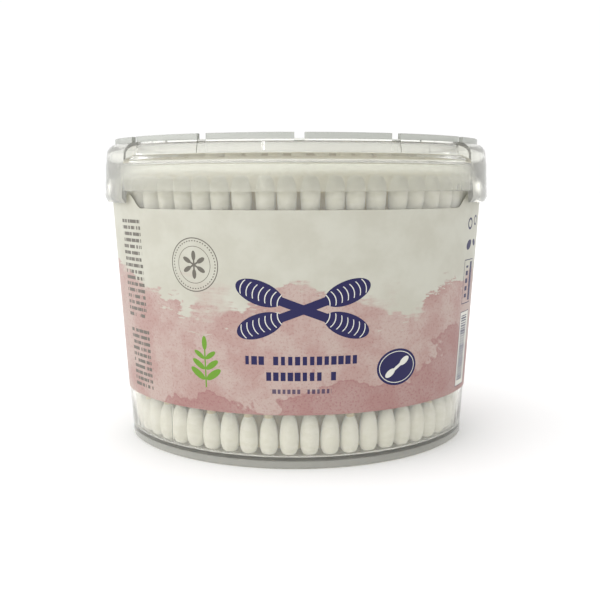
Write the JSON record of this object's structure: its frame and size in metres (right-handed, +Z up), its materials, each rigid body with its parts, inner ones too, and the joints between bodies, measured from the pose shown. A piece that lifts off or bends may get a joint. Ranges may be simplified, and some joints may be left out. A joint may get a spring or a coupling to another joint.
{
  "type": "cotton swab tub",
  "caption": "Oval clear plastic tub with a lift-off lid and a wrapped pastel label, packed with upright cotton swabs.",
  "frame": {"origin": "middle of the base, on the table", "axes": "+Z up towards the lid, X along the tub's width, front at -Y"},
  "size_m": [0.113, 0.0946, 0.0874],
  "materials": {
    "tub_plastic": "clear, slightly hazy",
    "lid_plastic": "clear, slightly hazy",
    "label_film": "printed film, satin",
    "cotton": "white wound cotton"
  },
  "bodies": {
    "tub": {"tub": "tub_plastic", "label": "label_film", "swab_01": "cotton", "swab_02": "cotton", "swab_03": "cotton", "swab_04": "cotton", "swab_05": "cotton", "swab_06": "cotton", "swab_07": "cotton", "swab_08": "cotton", "swab_09": "cotton", "swab_10": "cotton", "swab_11": "cotton", "swab_12": "cotton", "swab_13": "cotton", "swab_14": "cotton", "swab_15": "cotton", "swab_16": "cotton", "swab_17": "cotton", "swab_18": "cotton", "swab_19": "cotton", "swab_20": "cotton", "swab_21": "cotton", "swab_22": "cotton", "swab_23": "cotton", "swab_24": "cotton", "swab_25": "cotton", "swab_26": "cotton", "swab_27": "cotton", "swab_28": "cotton", "swab_29": "cotton", "swab_30": "cotton", "swab_31": "cotton", "swab_32": "cotton", "swab_33": "cotton", "swab_34": "cotton", "swab_35": "cotton", "swab_36": "cotton", "swab_37": "cotton", "swab_38": "cotton", "swab_39": "cotton", "swab_40": "cotton", "swab_41": "cotton", "swab_42": "cotton", "swab_43": "cotton", "swab_44": "cotton", "swab_45": "cotton", "swab_46": "cotton", "swab_47": "cotton", "swab_48": "cotton", "swabs_middle_1": "cotton", "swabs_middle_2": "cotton", "swabs_middle_3": "cotton", "swabs_middle_4": "cotton", "swabs_middle_5": "cotton", "swabs_middle_6": "cotton", "swabs_second_row": "cotton"},
    "lid": {"lid": "lid_plastic"}
  },
  "joints": [
    {"name": "lid_lift", "type": "slide", "parent": "tub", "child": "lid", "axis": [0, 0, 1], "range_m": [0, 0.03]}
  ]
}
